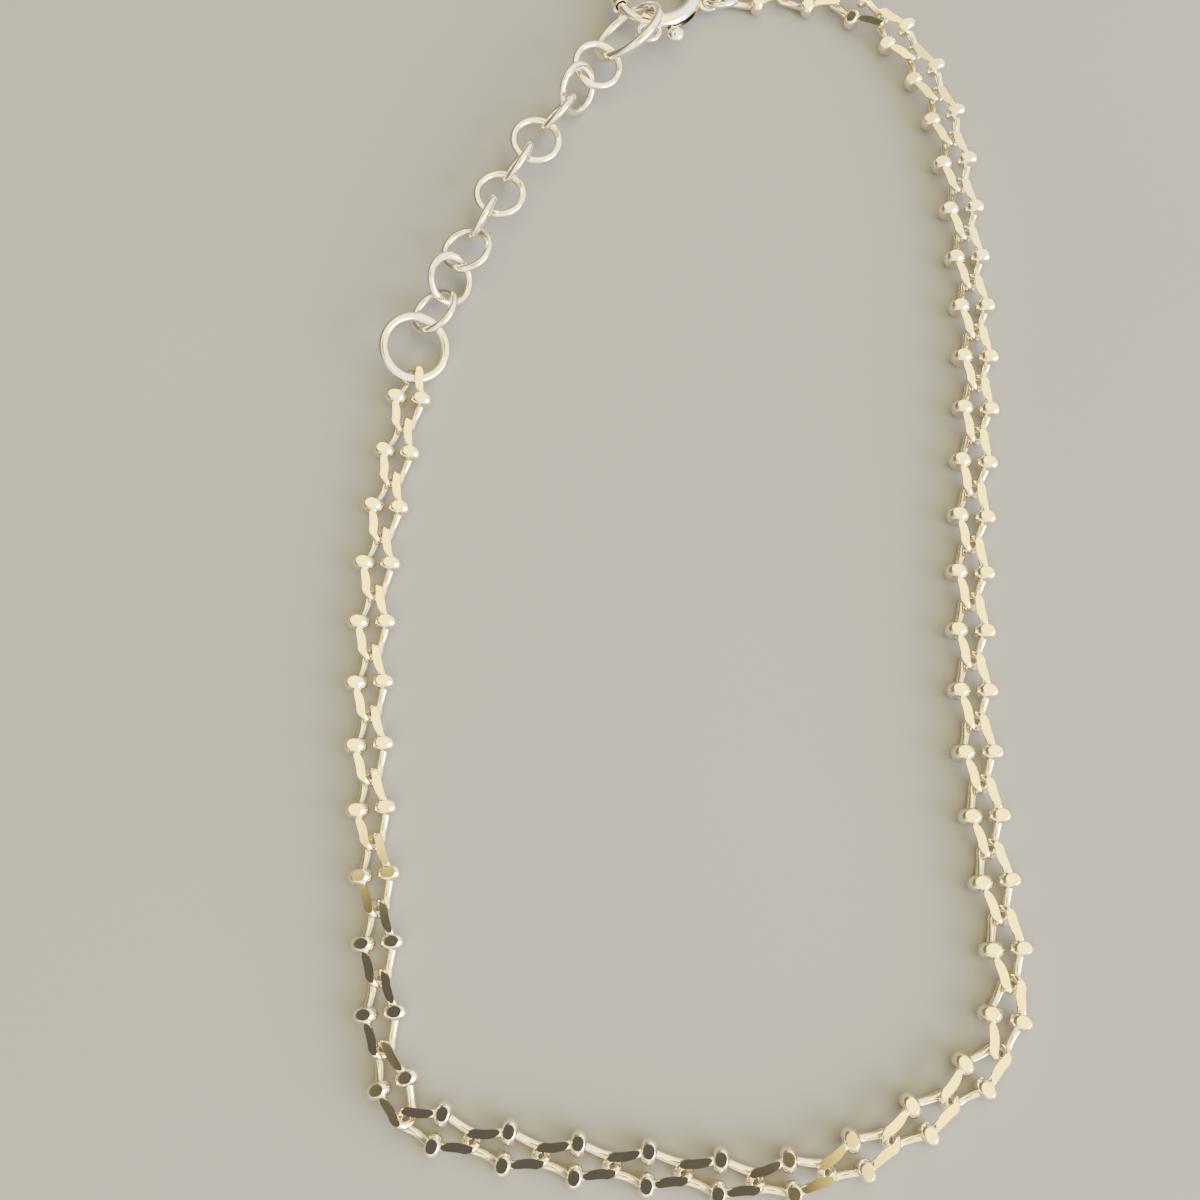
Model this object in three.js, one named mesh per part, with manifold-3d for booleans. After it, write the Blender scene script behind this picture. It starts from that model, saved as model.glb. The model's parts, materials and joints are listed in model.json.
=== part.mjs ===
import * as THREE from "three";
import { mergeVertices } from "three/addons/utils/BufferGeometryUtils.js";
import Module from "manifold-3d";

const wasm = await Module();
wasm.setup();
const { Manifold, Mesh } = wasm;

// Sizes in millimetres, angles in degrees.

// Curb link: an oval of round wire, twisted about its length so that neighbours cross square.
const LINK_COUNT = 43;
const PITCH = 3.4;
const LINK_WIRE = 0.44;
const LINK_HOOK = 0.66;
const LINK_HALF_WIDTH = 0.77;
const LINK_END_RADIUS = 0.58;
const LINK_TWIST = -45;
const TWIST_REACH = 1.2;
const END_BULGE = 1.06;
const WIRE_FLAT = 0.5;

// The links' slack: the first ones lie drawn out, down the left side and along the near end, and
// the others are closed up.
const DRAWN_COUNT = 21;
const DRAWN_PITCH = 3.44;
const CLOSED_PITCH = 3.35;

// Links that lie rolled over: positive raises the outer bead.
const ROLLED = [
  { link: 12, roll: -5 },
  { link: 36, roll: 4 },
  { link: 37, roll: 10 },
  { link: 38, roll: 17 },
  { link: 39, roll: 23 },
  { link: 40, roll: 27 },
  { link: 41, roll: 22 },
  { link: 42, roll: 14 },
  { link: 43, roll: 6 },
];

// Faceted bead on the middle of each long side of a link.
const BEAD_D = 1.3;
const BEAD_END_D = 0.9;
const BEAD_LENGTH = 0.86;
const BEAD_SIDES = 10;

// Round rings: extender, the two heavier rings at its ends, and the small one at the clasp.
const EXTENDER_D = 3.3;
const EXTENDER_WIRE = 0.46;
const RING_SLACK = 0.17;
const HOOK_GAP = 0.17;
const JUMP_GAP = 0.34;
const SMALL_GAP = 0.1;
const JUMP_D = 4.3;
const JUMP_WIRE = 0.52;
const HOOK_D = 5.2;
const HOOK_WIRE = 0.56;
const SMALL_D = 2.4;
const SMALL_WIRE = 0.42;

// How the three single rings lie: the bearing to the next one, the ring's own heading, its lean
// about that heading, its pitch along it and the height of its centre.
const JUMP_LIE = { bearing: 84.5, heading: 73, lean: 24, pitch: 10.8, z: 1.1 };
const HOOK_LIE = { bearing: 46, heading: 61, lean: -38, pitch: -6, z: 1.73 };
const SMALL_LIE = { bearing: 210, heading: 171, lean: 27.5, pitch: -7, z: 0.82 };

// The same for the extender's rings, each of which lies along its own bearing.
const EXTENDER = [
  { heading: 62, lean: -30, z: 1.15 },
  { heading: 61, lean: 50, z: 1.33 },
  { heading: 61, lean: -14, z: 1.38 },
  { heading: 60, lean: -70, z: 1.57 },
  { heading: 60, lean: 4, z: 1.25 },
  { heading: 58, lean: -62, z: 1.49 },
  { heading: 54, lean: 8, z: 1.3 },
  { heading: 50, lean: -58, z: 1.5 },
  { heading: 50, lean: 70, z: 1.57 },
  { heading: 51, lean: 18, z: 1.5 },
];

// Spring ring clasp. Its angles run anticlockwise from +X about its centre.
const CLASP_D = 6;
const TUBE_D = 1.1;
const BORE_D = 0.76;
const BOLT_D = 0.54;
const SLOT_H = 0.4;
const SLOT_MARGIN = 6;
const STEM_D = 0.28;
const KNOB_OUT = 3.7;
const KNOB_LENGTH = 1.1;
const KNOB_WIDTH = 1.15;
const KNOB_THICK = 0.9;
const EYE_AT = 354;
const EYE_D = 1.7;
const EYE_WIRE = 0.38;
const EYE_LEAN = 38;
const EYE_SINK = 0.34;
const SPARE_AT = 258;
const SPARE_D = 1.7;
const SPARE_WIRE = 0.36;
const SPARE_SINK = 0.5;
const CLASP_X = 6.87;
const CLASP_Y = 65.21;
const CLASP_Z = 1.1;
const CLASP_TILT = 8;
const MOUTH_FROM = 202;
const MOUTH_TO = 246;
const KNOB_AT = 286;
const BOLT_TRAVEL = 44;
const BOLT_OVERLAP = 6;

// Where the loop lies on the table, seen from above: one row for each turn of the chain.
const ROUTE = [
  { x: -9.7, y: 39.5 },
  { x: -12.2, y: 27.8 },
  { x: -12.9, y: 17.5 },
  { x: -12.7, y: 7.3 },
  { x: -12.7, y: 2.1 },
  { x: -11.8, y: -1.2 },
  { x: -8.6, y: -2.6 },
  { x: -3.6, y: -3.9 },
  { x: 1.5, y: -4.8 },
  { x: 4.9, y: -5.5 },
  { x: 8.3, y: -5.4 },
  { x: 14.7, y: -2.7 },
  { x: 17.5, y: -0.8 },
  { x: 18.7, y: 2.3 },
  { x: 18.8, y: 9.0 },
  { x: 19.4, y: 17.5 },
  { x: 20.7, y: 25.7 },
  { x: 23.0, y: 37.3 },
  { x: 24.0, y: 50.7 },
  { x: 23.9, y: 54.1 },
  { x: 23.2, y: 57.4 },
  { x: 22.0, y: 60.4 },
  { x: 19.9, y: 63.1 },
  { x: 16.7, y: 64.4 },
  { x: 11.2, y: 65.1 },
];

const gold = new THREE.MeshStandardMaterial({ color: 0xd8c69a, roughness: 0.18, metalness: 1 });

function rad(degrees) {
  return (degrees * Math.PI) / 180;
}

// A three.js geometry as a solid that can be joined and cut.
function solidOf(geometry) {
  const bare = new THREE.BufferGeometry();
  bare.setAttribute("position", geometry.getAttribute("position").clone());
  bare.setIndex(geometry.getIndex());
  const welded = mergeVertices(bare, 1e-5);
  const index = welded.getIndex().array;
  const kept = [];
  for (let i = 0; i < index.length; i += 3) {
    const [a, b, c] = [index[i], index[i + 1], index[i + 2]];
    if (a !== b && b !== c && a !== c) {
      kept.push(a, b, c);
    }
  }
  return new Manifold(
    new Mesh({
      numProp: 3,
      vertProperties: new Float32Array(welded.getAttribute("position").array),
      triVerts: new Uint32Array(kept),
    })
  );
}

function geometryOf(solid) {
  const mesh = solid.getMesh();
  const geometry = new THREE.BufferGeometry();
  geometry.setAttribute("position", new THREE.BufferAttribute(mesh.vertProperties, 3));
  geometry.setIndex(new THREE.BufferAttribute(mesh.triVerts, 1));
  const flat = geometry.toNonIndexed();
  flat.computeVertexNormals();
  return flat;
}

// Wire of a link: a torus drawn out to a long oval with round ends, then twisted.
const LINK_REACH = (PITCH + LINK_HOOK) / 2;
const LINK_STEPS = 12;

function ovalPoint(step) {
  const side = (LINK_STEPS + step) % LINK_STEPS;
  const straight = LINK_REACH - LINK_END_RADIUS;
  const quarter = LINK_STEPS / 4;
  if (side === quarter || side === 3 * quarter) {
    const out = side === quarter ? 1 : -1;
    return { x: 0, y: out * LINK_HALF_WIDTH, out: [0, out] };
  }
  const far = side > quarter && side < 3 * quarter;
  const from = far ? 2 * quarter : side > quarter ? LINK_STEPS : 0;
  const turn = (far ? Math.PI : 0) + (side - from) * (Math.PI / 2 / (quarter - 1));
  const out = [Math.cos(turn), Math.sin(turn)];
  const middle = far ? -straight : straight;
  const bulge = Math.abs(out[0]) > 0.01 ? LINK_END_RADIUS * END_BULGE : LINK_END_RADIUS;
  return { x: middle + bulge * out[0], y: bulge * out[1], out };
}

function linkWire() {
  const geometry = new THREE.TorusGeometry(1, LINK_WIRE / 2, 5, LINK_STEPS);
  const position = geometry.getAttribute("position");
  for (let i = 0; i < position.count; i += 1) {
    const x = position.getX(i);
    const y = position.getY(i);
    const z = position.getZ(i);
    const step = Math.round((Math.atan2(y, x) / (2 * Math.PI)) * LINK_STEPS);
    const centre = ovalPoint(step);
    const off = Math.hypot(x, y) - 1;
    const along = centre.x + off * centre.out[0];
    const across = centre.y + off * centre.out[1];
    const twist = rad(LINK_TWIST) * THREE.MathUtils.clamp(centre.x / TWIST_REACH, -1, 1);
    const height = across * Math.sin(twist) + z * Math.cos(twist);
    position.setXYZ(
      i,
      along,
      across * Math.cos(twist) - z * Math.sin(twist),
      THREE.MathUtils.clamp(height, -WIRE_FLAT, WIRE_FLAT)
    );
  }
  return solidOf(geometry);
}

function bead(side) {
  const half = BEAD_LENGTH / 2;
  const profile = [
    new THREE.Vector2(0, -half),
    new THREE.Vector2(BEAD_END_D / 2, -half),
    new THREE.Vector2(BEAD_D / 2, 0),
    new THREE.Vector2(BEAD_END_D / 2, half),
    new THREE.Vector2(0, half),
  ];
  const geometry = new THREE.LatheGeometry(profile, BEAD_SIDES);
  geometry.rotateY(rad(180 / BEAD_SIDES));
  geometry.rotateZ(rad(-90));
  geometry.translate(0, side * LINK_HALF_WIDTH, 0);
  return solidOf(geometry);
}

// A bead rests on one of its flats, or near a corner where its link is rolled.
const FLAT_Z = (BEAD_D / 2) * Math.cos(rad(180 / BEAD_SIDES));
const ROLLED_Z = BEAD_D / 2;

const linkGeometry = geometryOf(linkWire().add(bead(1)).add(bead(-1)));

const bracelet = new THREE.Group();
bracelet.name = "bracelet";

function place(name, geometry, parent) {
  const mesh = new THREE.Mesh(geometry, gold);
  mesh.name = name;
  parent.add(mesh);
  return mesh;
}

// The links are laid end to end along the route.
const route = new THREE.CatmullRomCurve3(
  ROUTE.map((row) => new THREE.Vector3(row.x, row.y, 0)),
  false,
  "centripetal"
);
const fine = route.getPoints(40000);

function layPoints(points, count) {
  const laid = [points[0]];
  for (const point of points) {
    const step = laid.length > DRAWN_COUNT ? CLOSED_PITCH : DRAWN_PITCH;
    if (laid.length <= count && point.distanceTo(laid[laid.length - 1]) >= step) {
      laid.push(point);
    }
  }
  return laid;
}

const joints = layPoints(fine, LINK_COUNT);
const chain = new THREE.Group();
chain.name = "curb_chain";
bracelet.add(chain);
for (let i = 0; i < LINK_COUNT; i += 1) {
  const [from, to] = [joints[i], joints[i + 1]];
  const roll = rad(ROLLED.find((row) => row.link === i + 1)?.roll ?? 0);
  const link = place(`link_${String(i + 1).padStart(2, "0")}`, linkGeometry, chain);
  const rise = roll === 0 ? FLAT_Z : ROLLED_Z + LINK_HALF_WIDTH * Math.abs(Math.sin(roll));
  link.position.set((from.x + to.x) / 2, (from.y + to.y) / 2, rise);
  link.rotation.set(-roll, 0, Math.atan2(to.y - from.y, to.x - from.x), "ZYX");
}

// A round ring lying along a heading, leaning over about that heading.
function ring(name, outer, wire, sides, steps, parent, at) {
  const geometry = new THREE.TorusGeometry((outer - wire) / 2, wire / 2, sides, steps);
  geometry.rotateX(rad(at.lean));
  geometry.rotateY(rad(-(at.pitch ?? 0)));
  geometry.rotateZ(rad(at.heading));
  const mesh = place(name, geometry, parent);
  mesh.position.set(at.x, at.y, at.z);
  return mesh;
}

// From the chain to the clasp: every ring starts one step on from the one before it.
const jumpRadius = (JUMP_D - JUMP_WIRE) / 2;
const extenderRadius = (EXTENDER_D - EXTENDER_WIRE) / 2;
const hookRadius = (HOOK_D - HOOK_WIRE) / 2;
const walk = joints[0].clone();

function stepOn(bearing, length) {
  walk.x += length * Math.cos(rad(bearing));
  walk.y += length * Math.sin(rad(bearing));
  return { x: walk.x, y: walk.y };
}

const linkToJump = LINK_HOOK / 2 - (LINK_WIRE + JUMP_WIRE) / 2 - JUMP_GAP + jumpRadius;
ring("extender_jump_ring", JUMP_D, JUMP_WIRE, 5, 14, bracelet, {
  ...JUMP_LIE,
  ...stepOn(JUMP_LIE.bearing, linkToJump),
});

const extender = new THREE.Group();
extender.name = "extender";
bracelet.add(extender);
const jumpToRing = jumpRadius + extenderRadius - (JUMP_WIRE + EXTENDER_WIRE) / 2 - RING_SLACK;
const ringToRing = 2 * extenderRadius - EXTENDER_WIRE - RING_SLACK;
EXTENDER.forEach((row, i) => {
  const name = `extender_ring_${String(i + 1).padStart(2, "0")}`;
  const at = stepOn(row.heading, i === 0 ? jumpToRing : ringToRing);
  ring(name, EXTENDER_D, EXTENDER_WIRE, 5, 12, extender, { ...row, ...at });
});

// The hook ring leans on the clasp's bolt.
const ringToHook = hookRadius + extenderRadius - (HOOK_WIRE + EXTENDER_WIRE) / 2 - HOOK_GAP;
ring("hook_ring", HOOK_D, HOOK_WIRE, 5, 14, bracelet, {
  ...HOOK_LIE,
  ...stepOn(HOOK_LIE.bearing, ringToHook),
});

// Spring ring clasp, drawn flat about its own centre.
const claspRadius = (CLASP_D - TUBE_D) / 2;

function sector(from, to, inner, outer, height) {
  const shape = new THREE.Shape();
  shape.absarc(0, 0, outer, rad(from), rad(to), false);
  shape.absarc(0, 0, inner, rad(to), rad(from), true);
  const geometry = new THREE.ExtrudeGeometry(shape, {
    depth: height,
    bevelEnabled: false,
    curveSegments: Math.ceil((to - from) / 15),
  });
  geometry.translate(0, 0, -height / 2);
  return solidOf(geometry);
}

function hoop(radius, wire, sides, steps) {
  return new THREE.TorusGeometry(radius, wire / 2, sides, steps);
}

function loop(at, out, outer, wire, lean) {
  const geometry = hoop((outer - wire) / 2, wire, 5, 8);
  geometry.rotateX(rad(lean));
  geometry.translate(out, 0, 0);
  geometry.rotateZ(rad(at));
  return solidOf(geometry);
}

const inside = claspRadius - TUBE_D;
const outside = claspRadius + TUBE_D;
const slotFrom = KNOB_AT - SLOT_MARGIN;
const slotTo = KNOB_AT + BOLT_TRAVEL + SLOT_MARGIN;
const tube = solidOf(hoop(claspRadius, TUBE_D, 8, 20));
const bore = solidOf(hoop(claspRadius, BORE_D, 6, 20));
const mouth = sector(MOUTH_FROM, MOUTH_TO, inside, outside, 2 * TUBE_D);
const slot = sector(slotFrom, slotTo, claspRadius, outside, SLOT_H);
const eye = loop(EYE_AT, (CLASP_D + EYE_D) / 2 - EYE_SINK, EYE_D, EYE_WIRE, EYE_LEAN);
const spare = loop(SPARE_AT, (CLASP_D + SPARE_D) / 2 - SPARE_SINK, SPARE_D, SPARE_WIRE, 0);
const eyes = eye.add(spare).subtract(solidOf(hoop(claspRadius, (TUBE_D + BORE_D) / 2, 8, 20)));
const claspRing = tube.subtract(bore).subtract(mouth).subtract(slot).add(eyes);

const rod = solidOf(hoop(claspRadius, BOLT_D, 6, 20));
const stem = new THREE.CylinderGeometry(STEM_D / 2, STEM_D / 2, KNOB_OUT - claspRadius, 6);
stem.rotateZ(rad(90));
stem.translate((KNOB_OUT + claspRadius) / 2, 0, 0);
stem.rotateZ(rad(KNOB_AT));
const knob = new THREE.SphereGeometry(0.5, 8, 6);
knob.scale(KNOB_LENGTH, KNOB_WIDTH, KNOB_THICK);
knob.translate(KNOB_OUT, 0, 0);
knob.rotateZ(rad(KNOB_AT));
const boltFrom = MOUTH_FROM - BOLT_OVERLAP;
const boltTo = KNOB_AT + BOLT_OVERLAP;
const boltArc = rod.intersect(sector(boltFrom, boltTo, inside, outside, 2 * TUBE_D));
const claspBolt = boltArc.add(solidOf(stem)).add(solidOf(knob));

const clasp = new THREE.Group();
clasp.name = "spring_ring_clasp";
bracelet.add(clasp);
place("clasp_ring", geometryOf(claspRing), clasp);
place("clasp_bolt", geometryOf(claspBolt), clasp);
const mouthAt = (MOUTH_FROM + MOUTH_TO) / 2;
clasp.position.set(CLASP_X, CLASP_Y, CLASP_Z);
const tiltAxis = new THREE.Vector3(Math.cos(rad(mouthAt - 90)), Math.sin(rad(mouthAt - 90)), 0);
clasp.quaternion.setFromAxisAngle(tiltAxis, rad(CLASP_TILT));

// Small ring from the clasp's eye to the last link.
const smallRadius = (SMALL_D - SMALL_WIRE) / 2;
const linkToSmall = LINK_HOOK / 2 - (LINK_WIRE + SMALL_WIRE) / 2 - SMALL_GAP + smallRadius;
walk.copy(joints[LINK_COUNT]);
ring("clasp_jump_ring", SMALL_D, SMALL_WIRE, 5, 12, bracelet, {
  ...SMALL_LIE,
  ...stepOn(SMALL_LIE.bearing, linkToSmall),
});

// The bracelet stands on z = 0 with the middle of its box at the origin.
bracelet.updateMatrixWorld(true);
const box = new THREE.Box3().setFromObject(bracelet, true);
const part = new THREE.Group();
part.name = "part";
bracelet.position.set(-(box.min.x + box.max.x) / 2, -(box.min.y + box.max.y) / 2, -box.min.z);
part.add(bracelet);

export default part;
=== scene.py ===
import json
import math

import bmesh
import bpy
import numpy as np
from mathutils import Matrix, Vector


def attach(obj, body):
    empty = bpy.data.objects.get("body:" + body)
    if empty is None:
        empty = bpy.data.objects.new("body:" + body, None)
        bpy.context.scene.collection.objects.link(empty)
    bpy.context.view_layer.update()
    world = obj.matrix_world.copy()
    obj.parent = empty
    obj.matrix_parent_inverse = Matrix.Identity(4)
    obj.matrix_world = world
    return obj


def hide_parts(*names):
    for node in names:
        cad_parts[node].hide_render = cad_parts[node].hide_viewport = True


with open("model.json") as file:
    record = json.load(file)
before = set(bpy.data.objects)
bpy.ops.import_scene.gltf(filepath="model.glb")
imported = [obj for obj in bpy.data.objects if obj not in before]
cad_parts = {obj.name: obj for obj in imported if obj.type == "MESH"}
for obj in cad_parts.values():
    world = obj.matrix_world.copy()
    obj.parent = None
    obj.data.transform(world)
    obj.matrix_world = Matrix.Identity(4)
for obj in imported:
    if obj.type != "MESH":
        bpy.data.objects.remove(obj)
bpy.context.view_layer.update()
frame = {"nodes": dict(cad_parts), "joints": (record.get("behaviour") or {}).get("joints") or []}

# Camera. It hangs a hand's breadth over the near end of the loop and looks a little forward,
# so the clasp end runs away from it and out at the top of the picture.
CAMERA_AT = Vector((-0.005537, -0.030669, 0.07095))
CAMERA_TILT = math.radians(19.18)
CAMERA_ROLL = math.radians(-4.94)
CAMERA_LENS = 40.58
camera = bpy.data.objects.new("photo_camera", bpy.data.cameras.new("photo_camera"))
camera.data.lens = CAMERA_LENS
camera.data.clip_start = 0.005
camera.matrix_world = (
    Matrix.Translation(CAMERA_AT)
    @ Matrix.Rotation(CAMERA_TILT, 4, "X")
    @ Matrix.Rotation(CAMERA_ROLL, 4, "Z")
)
bpy.context.scene.collection.objects.link(camera)
bpy.context.scene.camera = camera


# Table top. A plain pale board, wide enough to fill every view, that the bracelet lies on.
# Its surface is matt with a faint cloudy tone.
TABLE_HALF = 0.9
TABLE_ROUGHNESS = 0.7
TABLE_SHEEN = 0.25
TABLE_CLOUDS = 28
TABLE_TONES = ((0.205, 0.205, 0.226, 1), (0.227, 0.227, 0.25, 1))
table_mesh = bpy.data.meshes.new("table_top")
bm = bmesh.new()
bmesh.ops.create_grid(bm, x_segments=1, y_segments=1, size=TABLE_HALF)
bm.to_mesh(table_mesh)
bm.free()
table_top = bpy.data.objects.new("table_top", table_mesh)
bpy.context.scene.collection.objects.link(table_top)

table_paint = bpy.data.materials.new("matt_board")
table_paint.use_nodes = True
nodes, links = table_paint.node_tree.nodes, table_paint.node_tree.links
shader = nodes["Principled BSDF"]
shader.inputs["Roughness"].default_value = TABLE_ROUGHNESS
shader.inputs["Specular IOR Level"].default_value = TABLE_SHEEN
place = nodes.new("ShaderNodeTexCoord")
cloud = nodes.new("ShaderNodeTexNoise")
cloud.inputs["Scale"].default_value = TABLE_CLOUDS
tone = nodes.new("ShaderNodeMix")
tone.data_type = "RGBA"
tone.inputs["A"].default_value, tone.inputs["B"].default_value = TABLE_TONES
links.new(place.outputs["Object"], cloud.inputs["Vector"])
links.new(cloud.outputs["Fac"], tone.inputs["Factor"])
links.new(tone.outputs["Result"], shader.inputs["Base Color"])
table_mesh.materials.append(table_paint)


# Studio light. A dome with a warm ceiling, walls that are bright on the right and dim on the
# left, a grey camera hood near its top that the nearest flats mirror, and a white window panel.
WALL_TOWARDS = Vector((0.80, -0.45, 0.25)).normalized()
WALL_FROM, WALL_TO = -0.65, 0.3
DOME_DIM = (0.10, 0.095, 0.08, 1)
DOME_BRIGHT = (1.2, 1.18, 1.06, 1)
CEILING_FROM, CEILING_TO = 0.76, 0.88
DOME_CEILING = (1.95, 1.64, 0.40, 1)
HOOD_TOWARDS = Vector((-0.13, -0.10, 1)).normalized()
HOOD_FROM, HOOD_TO = math.cos(math.radians(18)), math.cos(math.radians(13))
DOME_HOOD = (0.045, 0.046, 0.062, 1)
DOME_STRENGTH = 2.7
world = bpy.data.worlds.new("studio_dome")
bpy.context.scene.world = world
world.use_nodes = True
nodes, links = world.node_tree.nodes, world.node_tree.links
background = nodes["Background"]
background.inputs["Strength"].default_value = DOME_STRENGTH
place = nodes.new("ShaderNodeTexCoord")
parts = nodes.new("ShaderNodeSeparateXYZ")
beside = nodes.new("ShaderNodeVectorMath")
beside.operation = "DOT_PRODUCT"
beside.inputs[1].default_value = WALL_TOWARDS
side = nodes.new("ShaderNodeMapRange")
side.interpolation_type = "SMOOTHSTEP"
side.inputs["From Min"].default_value = WALL_FROM
side.inputs["From Max"].default_value = WALL_TO
walls = nodes.new("ShaderNodeMix")
walls.data_type = "RGBA"
walls.inputs["A"].default_value = DOME_DIM
walls.inputs["B"].default_value = DOME_BRIGHT
height = nodes.new("ShaderNodeMapRange")
height.interpolation_type = "SMOOTHSTEP"
height.inputs["From Min"].default_value = CEILING_FROM
height.inputs["From Max"].default_value = CEILING_TO
room = nodes.new("ShaderNodeMix")
room.data_type = "RGBA"
room.inputs["B"].default_value = DOME_CEILING
near_hood = nodes.new("ShaderNodeVectorMath")
near_hood.operation = "DOT_PRODUCT"
near_hood.inputs[1].default_value = HOOD_TOWARDS
hood = nodes.new("ShaderNodeMapRange")
hood.interpolation_type = "SMOOTHSTEP"
hood.inputs["From Min"].default_value = HOOD_FROM
hood.inputs["From Max"].default_value = HOOD_TO
dome = nodes.new("ShaderNodeMix")
dome.data_type = "RGBA"
dome.inputs["B"].default_value = DOME_HOOD
links.new(place.outputs["Generated"], beside.inputs[0])
links.new(beside.outputs["Value"], side.inputs["Value"])
links.new(side.outputs["Result"], walls.inputs["Factor"])
links.new(walls.outputs["Result"], room.inputs["A"])
links.new(place.outputs["Generated"], parts.inputs["Vector"])
links.new(parts.outputs["Z"], height.inputs["Value"])
links.new(height.outputs["Result"], room.inputs["Factor"])
links.new(place.outputs["Generated"], near_hood.inputs[0])
links.new(near_hood.outputs["Value"], hood.inputs["Value"])
links.new(hood.outputs["Result"], dome.inputs["Factor"])
links.new(room.outputs["Result"], dome.inputs["A"])
links.new(dome.outputs["Result"], background.inputs["Color"])

PANEL_AT = Vector((0.42, -0.30, 0.17))
PANEL_SIZE = (0.46, 0.28)
PANEL_POWER = 10
PANEL_COLOUR = (1.0, 0.98, 0.95)
window = bpy.data.lights.new("window_panel", "AREA")
window.shape = "RECTANGLE"
window.size, window.size_y = PANEL_SIZE
window.energy = PANEL_POWER
window.color = PANEL_COLOUR
window_panel = bpy.data.objects.new("window_panel", window)
facing = PANEL_AT.to_track_quat("Z", "Y").to_matrix().to_4x4()
window_panel.matrix_world = Matrix.Translation(PANEL_AT) @ facing
bpy.context.scene.collection.objects.link(window_panel)


# Beaded curb links. Each is a pointed oval of gold wire, soldered shut with a bead on each long
# side and twisted a quarter turn, so that the next link sits square in it. The high wire and
# the bead tops are cut to bright flats, and the wire thins a little where the links hook.
LINK_PITCH = 0.0034
LINK_WIRE = 0.00048
END_THINNING = 0.14
LINK_HOOK = 0.00066
LINK_HALF_WIDTH = 0.00077
LINK_END_RADIUS = 0.00058
LINK_TWIST = math.radians(-45)
TWIST_REACH = 0.0014
LINK_FLAT = 0.00048
LINK_REACH = (LINK_PITCH + LINK_HOOK) / 2
BEAD_RADIUS = 0.000655
BEAD_BAND = 0.00007
BEAD_SHOULDER = 0.00034
BEAD_TURN = math.radians(80)
BEAD_TOP = 0.00055
BEAD_FOOT = 0.000618
WIRE_SIDES = 16
LINK_STEPS = 40
LINK_SIDE_CUTS = 11
BEAD_STEPS = 10
BEAD_SIDES = 36
CUT = 1
CRISP = math.radians(32)
SLIVER = 1e-6
CLOUD_SCALE = 700
HAIRLINE_SCALE = 9000
HAIRLINE_DEPTH = 0.00002


def gold(name, tones, roughness, scratch):
    metal = bpy.data.materials.new(name)
    metal.use_nodes = True
    nodes, links = metal.node_tree.nodes, metal.node_tree.links
    shader = nodes["Principled BSDF"]
    shader.inputs["Metallic"].default_value = 1
    place = nodes.new("ShaderNodeTexCoord")
    cloud = nodes.new("ShaderNodeTexNoise")
    cloud.inputs["Scale"].default_value = CLOUD_SCALE
    cloud.inputs["Detail"].default_value = 3
    tone = nodes.new("ShaderNodeMix")
    tone.data_type = "RGBA"
    tone.inputs["A"].default_value, tone.inputs["B"].default_value = tones
    worn = nodes.new("ShaderNodeMapRange")
    worn.inputs["To Min"].default_value, worn.inputs["To Max"].default_value = roughness
    hair = nodes.new("ShaderNodeTexNoise")
    hair.inputs["Scale"].default_value = HAIRLINE_SCALE
    hair.inputs["Detail"].default_value = 2
    bump = nodes.new("ShaderNodeBump")
    bump.inputs["Strength"].default_value = scratch
    bump.inputs["Distance"].default_value = HAIRLINE_DEPTH
    links.new(place.outputs["Object"], cloud.inputs["Vector"])
    links.new(place.outputs["Object"], hair.inputs["Vector"])
    links.new(cloud.outputs["Fac"], tone.inputs["Factor"])
    links.new(cloud.outputs["Fac"], worn.inputs["Value"])
    links.new(tone.outputs["Result"], shader.inputs["Base Color"])
    links.new(worn.outputs["Result"], shader.inputs["Roughness"])
    links.new(hair.outputs["Fac"], bump.inputs["Height"])
    links.new(bump.outputs["Normal"], shader.inputs["Normal"])
    return metal


def turn(bm, angle, axis):
    bmesh.ops.rotate(bm, verts=bm.verts, cent=(0, 0, 0), matrix=Matrix.Rotation(angle, 3, axis))


def spin(bm, axis, angle, steps):
    section = bm.faces[:] + bm.edges[:]
    whole = angle > 2 * math.pi - 1e-6
    bmesh.ops.spin(bm, geom=section, axis=axis, angle=angle, steps=steps, use_merge=whole)
    bmesh.ops.remove_doubles(bm, verts=bm.verts, dist=1e-7)


def cut_flat(bm, along, distance):
    whole = bm.verts[:] + bm.edges[:] + bm.faces[:]
    spot = Vector(along) * distance
    cut = bmesh.ops.bisect_plane(bm, geom=whole, plane_co=spot, plane_no=along, clear_outer=True)
    rim = [piece for piece in cut["geom_cut"] if isinstance(piece, bmesh.types.BMEdge)]
    for face in bmesh.ops.holes_fill(bm, edges=rim, sides=0)["faces"]:
        face.material_index = CUT


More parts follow.
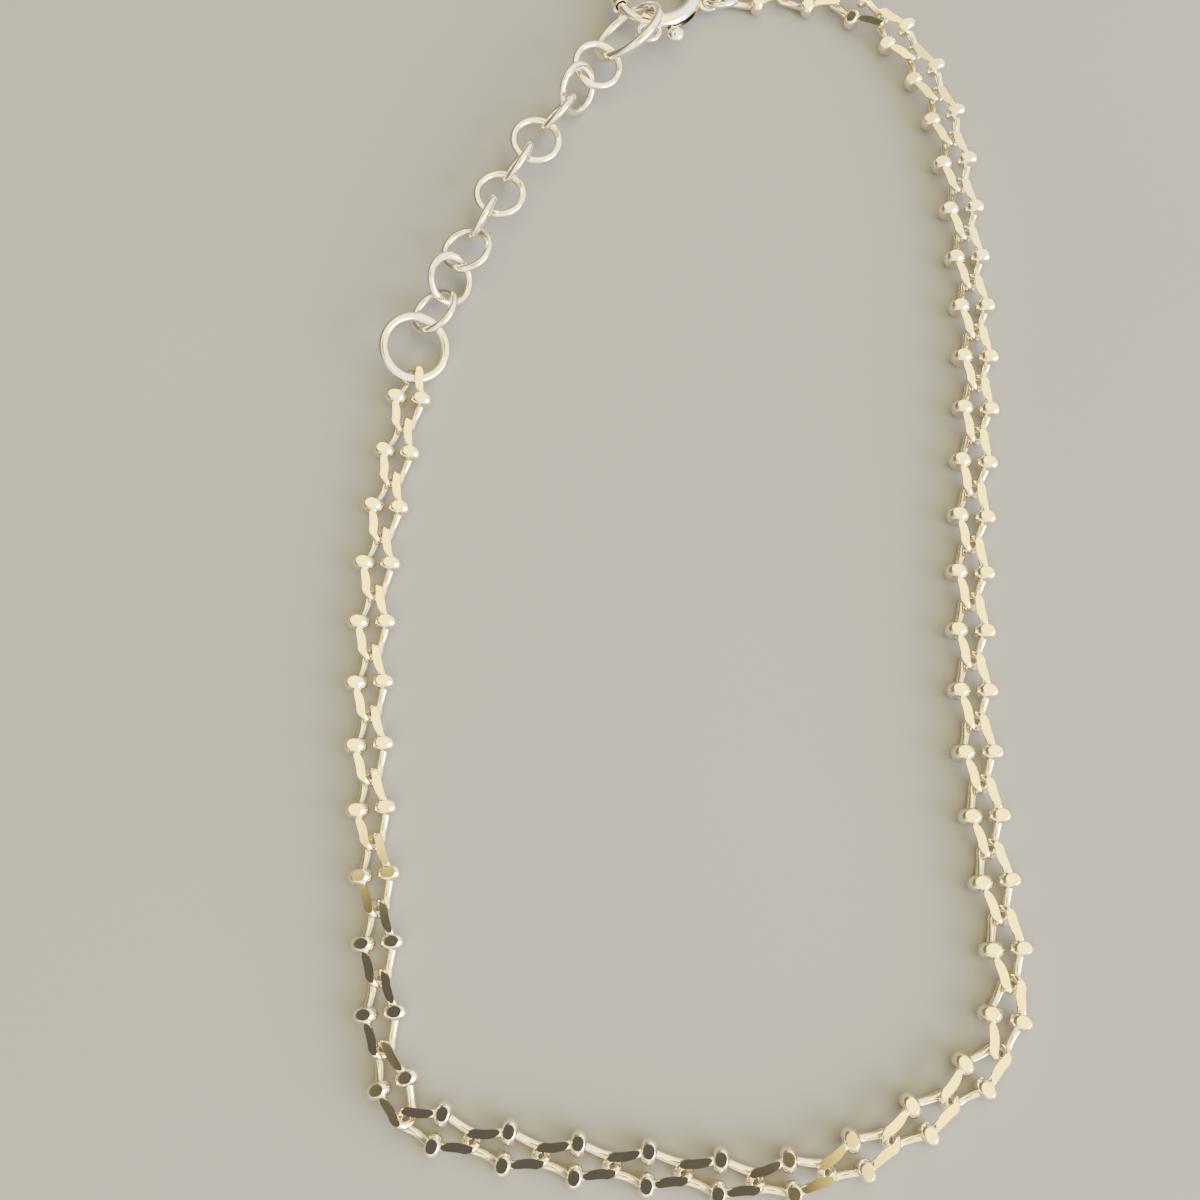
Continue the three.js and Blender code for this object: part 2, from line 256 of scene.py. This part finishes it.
def link_wire():
    bm = bmesh.new()
    bmesh.ops.create_circle(bm, segments=WIRE_SIDES, radius=LINK_WIRE / 2)
    turn(bm, math.pi / 2, "Y")
    bmesh.ops.translate(bm, verts=bm.verts, vec=(0, LINK_END_RADIUS, 0))
    spin(bm, (0, 0, 1), 2 * math.pi, LINK_STEPS)
    for vert in bm.verts:
        outward = Vector((vert.co.x, vert.co.y, 0)).normalized()
        core = outward * LINK_END_RADIUS
        vert.co = core + (vert.co - core) * (1 - END_THINNING * abs(outward.x))
    straight = LINK_REACH - LINK_END_RADIUS
    for vert in bm.verts:
        if abs(vert.co.x) > 1e-7:
            vert.co.x += math.copysign(straight, vert.co.x)
    long_edges = [edge for edge in bm.edges if edge.calc_length() > straight / 2]
    bmesh.ops.subdivide_edges(bm, edges=long_edges, cuts=LINK_SIDE_CUTS, use_grid_fill=True)
    widest = LINK_HALF_WIDTH - LINK_END_RADIUS
    for vert in bm.verts:
        spread = widest * max(0, 1 - abs(vert.co.x) / straight)
        vert.co.y += math.copysign(spread, vert.co.y)
        done = max(-1, min(1, vert.co.x / TWIST_REACH))
        vert.co.rotate(Matrix.Rotation(LINK_TWIST * math.sin(done * math.pi / 2), 3, "X"))
    bmesh.ops.recalc_face_normals(bm, faces=bm.faces)
    cut_flat(bm, (0, 0, 1), LINK_FLAT)
    cut_flat(bm, (0, 0, -1), LINK_FLAT)
    return bm


def cut_bead(side):
    bm = bmesh.new()
    profile = []
    for i in range(BEAD_STEPS + 1):
        share = 2 * i / BEAD_STEPS - 1
        angle = BEAD_TURN * share
        along = BEAD_SHOULDER * math.sin(angle) + BEAD_BAND * share
        out = BEAD_RADIUS - BEAD_SHOULDER * (1 - math.cos(angle))
        profile.append(bm.verts.new((along, 0, out)))
    for low, high in zip(profile, profile[1:]):
        bm.edges.new((low, high))
    spin(bm, (1, 0, 0), 2 * math.pi, BEAD_SIDES)
    bmesh.ops.holes_fill(bm, edges=[edge for edge in bm.edges if edge.is_boundary], sides=0)
    bmesh.ops.recalc_face_normals(bm, faces=bm.faces)
    cut_flat(bm, (0, 0, 1), BEAD_TOP)
    cut_flat(bm, (0, 0, -1), BEAD_FOOT)
    bmesh.ops.translate(bm, verts=bm.verts, vec=(0, side * LINK_HALF_WIDTH, 0))
    return bm


def solid(name, bm, *finishes):
    mesh = bpy.data.meshes.new(name)
    bm.to_mesh(mesh)
    bm.free()
    for finish in finishes:
        mesh.materials.append(finish)
    piece = bpy.data.objects.new(name, mesh)
    bpy.context.scene.collection.objects.link(piece)
    return piece


def joined(first, *others, operation="UNION"):
    for other in others:
        join = first.modifiers.new(other.name, "BOOLEAN")
        join.operation = operation
        join.solver = "EXACT"
        join.object = other
    bpy.context.view_layer.update()
    shape = first.evaluated_get(bpy.context.evaluated_depsgraph_get())
    mesh = bpy.data.meshes.new_from_object(shape)
    for piece in (first, *others):
        bpy.data.objects.remove(piece)
    return mesh


def crisp(mesh):
    bm = bmesh.new()
    bm.from_mesh(mesh)
    bmesh.ops.remove_doubles(bm, verts=bm.verts, dist=SLIVER)
    bmesh.ops.dissolve_degenerate(bm, edges=bm.edges, dist=SLIVER)
    for face in bm.faces:
        face.smooth = True
    for edge in bm.edges:
        one_finish = len({face.material_index for face in edge.link_faces}) == 1
        edge.smooth = one_finish and edge.calc_face_angle(0) < CRISP
    bm.to_mesh(mesh)
    bm.free()


# The directions of least, middle and most spread of a solid's corners are its up, across and along.
def lie(node):
    corners = np.array([vert.co for vert in frame["nodes"][node].data.vertices])
    points = np.unique(corners.round(7), axis=0)
    up, across, along = (Vector(axis) for axis in np.linalg.eigh(np.cov(points.T))[1].T)
    if up.z < 0:
        up.negate()
    turned = Matrix((along, up.cross(along), up)).transposed()
    return Matrix.Translation(points.mean(axis=0)) @ turned.to_4x4()


def dress(name, mesh, node, body):
    piece = bpy.data.objects.new(name, mesh)
    bpy.context.scene.collection.objects.link(piece)
    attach(piece, body)
    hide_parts(node)


wire_gold = gold("drawn_pale_gold", ((0.90, 0.79, 0.54, 1), (0.95, 0.86, 0.62, 1)), (0.10, 0.20), 0.03)
cut_gold = gold("bright_cut_gold", ((0.94, 0.79, 0.40, 1), (0.97, 0.84, 0.48, 1)), (0.04, 0.09), 0.01)
bare_link = solid("bare_link", link_wire(), wire_gold, cut_gold)
inner_bead = solid("inner_bead", cut_bead(-1), wire_gold, cut_gold)
outer_bead = solid("outer_bead", cut_bead(1), wire_gold, cut_gold)
link_mesh = joined(bare_link, inner_bead, outer_bead)
crisp(link_mesh)
for node in sorted(name for name in frame["nodes"] if name.startswith("link_")):
    mesh = link_mesh.copy()
    mesh.transform(lie(node))
    dress(f"beaded_{node}", mesh, node, "bracelet")
bpy.data.meshes.remove(link_mesh)


# Round rings. The extender is a run of equal soldered wire rings, with a heavier ring at the
# chain end, the heavy ring that the clasp hooks and a small ring at the clasp's eye.
RING_SIZES = {
    "extender_ring": {"outer": 0.0033, "wire": 0.00048},
    "extender_jump_ring": {"outer": 0.0043, "wire": 0.0006},
    "hook_ring": {"outer": 0.0052, "wire": 0.00062},
    "clasp_jump_ring": {"outer": 0.0024, "wire": 0.00042},
}
RING_STEPS = 60


def wire_ring(outer, wire):
    bm = bmesh.new()
    bmesh.ops.create_circle(bm, segments=WIRE_SIDES, radius=wire / 2)
    turn(bm, math.pi / 2, "X")
    bmesh.ops.translate(bm, verts=bm.verts, vec=((outer - wire) / 2, 0, 0))
    spin(bm, (0, 0, 1), 2 * math.pi, RING_STEPS)
    bmesh.ops.recalc_face_normals(bm, faces=bm.faces)
    return bm


ring_gold = gold("soldered_ring_gold", ((0.90, 0.81, 0.62, 1), (0.95, 0.88, 0.71, 1)), (0.08, 0.18), 0.03)
for kind, size in RING_SIZES.items():
    bare_ring = solid("bare_ring", wire_ring(**size), ring_gold)
    ring_mesh = bare_ring.data
    bpy.data.objects.remove(bare_ring)
    crisp(ring_mesh)
    for node in sorted(name for name in frame["nodes"] if name.startswith(kind)):
        mesh = ring_mesh.copy()
        mesh.transform(lie(node))
        dress(f"wire_{node}", mesh, node, "bracelet")
    bpy.data.meshes.remove(ring_mesh)


# Spring ring clasp. A tube bent to a ring with a mouth on its left side and a slot for the
# thumb knob, and two wire eyes soldered on its outside. A sprung rod inside closes the mouth.
CLASP_RADIUS = 0.00245
TUBE_WIDTH = 0.0011
BORE_WIDTH = 0.00076
BORE_PAST = math.radians(2)
MOUTH_FROM = math.radians(202)
MOUTH_TO = math.radians(246)
KNOB_AT = math.radians(286)
BOLT_TRAVEL = math.radians(44)
SLOT_MARGIN = math.radians(6)
SLOT_STEPS = 16
TUBE_SIDES = 20
TUBE_STEPS = 60
BORE_STEPS = 62
SLOT_HEIGHT = 0.0004
EYES = (
    {"at": math.radians(354), "outer": 0.0017, "wire": 0.00038, "lean": math.radians(38), "sink": 0.00034},
    {"at": math.radians(258), "outer": 0.0017, "wire": 0.00036, "lean": 0, "sink": 0.0005},
)
clasp_joint = frame["joints"][0]
clasp_axis = Vector(clasp_joint["axis"]).normalized()
clasp_turn = Vector((0, 0, 1)).rotation_difference(clasp_axis).to_matrix().to_4x4()
clasp_lie = Matrix.Translation(clasp_joint["pos_m"]) @ clasp_turn


def bent_rod(width, start, end, steps):
    bm = bmesh.new()
    bmesh.ops.create_circle(bm, segments=TUBE_SIDES, radius=width / 2, cap_ends=True)
    turn(bm, math.pi / 2, "X")
    bmesh.ops.translate(bm, verts=bm.verts, vec=(CLASP_RADIUS, 0, 0))
    turn(bm, start, "Z")
    spin(bm, (0, 0, 1), end - start, steps)
    bmesh.ops.recalc_face_normals(bm, faces=bm.faces)
    return bm


def slot_block():
    bm = bmesh.new()
    rise = SLOT_HEIGHT / 2
    inner, outer = CLASP_RADIUS, CLASP_RADIUS + TUBE_WIDTH
    corners = ((inner, 0, -rise), (outer, 0, -rise), (outer, 0, rise), (inner, 0, rise))
    bm.faces.new([bm.verts.new(corner) for corner in corners])
    turn(bm, KNOB_AT - SLOT_MARGIN, "Z")
    spin(bm, (0, 0, 1), BOLT_TRAVEL + 2 * SLOT_MARGIN, SLOT_STEPS)
    bmesh.ops.recalc_face_normals(bm, faces=bm.faces)
    return bm


def wire_eye(at, outer, wire, lean, sink):
    bm = wire_ring(outer, wire)
    turn(bm, lean, "X")
    out = CLASP_RADIUS + (TUBE_WIDTH + outer) / 2 - sink
    bmesh.ops.translate(bm, verts=bm.verts, vec=(out, 0, 0))
    turn(bm, at, "Z")
    return bm


clasp_gold = gold("rolled_tube_gold", ((0.88, 0.80, 0.62, 1), (0.94, 0.87, 0.71, 1)), (0.10, 0.22), 0.03)
tube_end = MOUTH_FROM + 2 * math.pi
bent_tube = solid("bent_tube", bent_rod(TUBE_WIDTH, MOUTH_TO, tube_end, TUBE_STEPS), clasp_gold)
eyes = [solid(f"eye_{i}", wire_eye(**eye), clasp_gold) for i, eye in enumerate(EYES)]
tube = bpy.data.objects.new("tube", joined(bent_tube, *eyes))
bpy.context.scene.collection.objects.link(tube)
bore_rod = bent_rod(BORE_WIDTH, MOUTH_TO - BORE_PAST, tube_end + BORE_PAST, BORE_STEPS)
bore = solid("bore", bore_rod, clasp_gold)
slot = solid("slot", slot_block(), clasp_gold)
clasp_mesh = joined(tube, bore, slot, operation="DIFFERENCE")
crisp(clasp_mesh)
clasp_mesh.transform(clasp_lie)
dress("spring_ring_tube", clasp_mesh, "clasp_ring", "bracelet")


# Bolt of the clasp. A bent rod that slides in the tube and closes the mouth, with a short stem
# through the slot to a rounded thumb knob. It slides back about the middle of the ring.
BOLT_WIDTH = 0.00054
BOLT_OVERLAP = math.radians(6)
KNOB_OUT = 0.0037
KNOB_SIZE = (0.0011, 0.00115, 0.0009)
KNOB_SIDES, KNOB_ROWS = 24, 14
STEM_WIDTH = 0.00028
STEM_SIDES = 12
BOLT_STEPS = 28


def thumb_knob():
    bm = bmesh.new()
    bmesh.ops.create_uvsphere(bm, u_segments=KNOB_SIDES, v_segments=KNOB_ROWS, radius=0.5)
    bmesh.ops.scale(bm, verts=bm.verts, vec=KNOB_SIZE)
    bmesh.ops.translate(bm, verts=bm.verts, vec=(KNOB_OUT, 0, 0))
    turn(bm, KNOB_AT, "Z")
    return bm


def knob_stem():
    bm = bmesh.new()
    radius = STEM_WIDTH / 2
    length = KNOB_OUT - CLASP_RADIUS
    bmesh.ops.create_cone(
        bm, cap_ends=True, segments=STEM_SIDES, radius1=radius, radius2=radius, depth=length
    )
    turn(bm, math.pi / 2, "Y")
    bmesh.ops.translate(bm, verts=bm.verts, vec=(CLASP_RADIUS + length / 2, 0, 0))
    turn(bm, KNOB_AT, "Z")
    return bm


bent_bolt = bent_rod(BOLT_WIDTH, MOUTH_FROM - BOLT_OVERLAP, KNOB_AT + BOLT_OVERLAP, BOLT_STEPS)
rod = solid("rod", bent_bolt, clasp_gold)
stem = solid("stem", knob_stem(), clasp_gold)
knob = solid("knob", thumb_knob(), clasp_gold)
bolt_mesh = joined(rod, stem, knob)
crisp(bolt_mesh)
bolt_mesh.transform(clasp_lie)
dress("sprung_bolt", bolt_mesh, "clasp_bolt", "bolt")
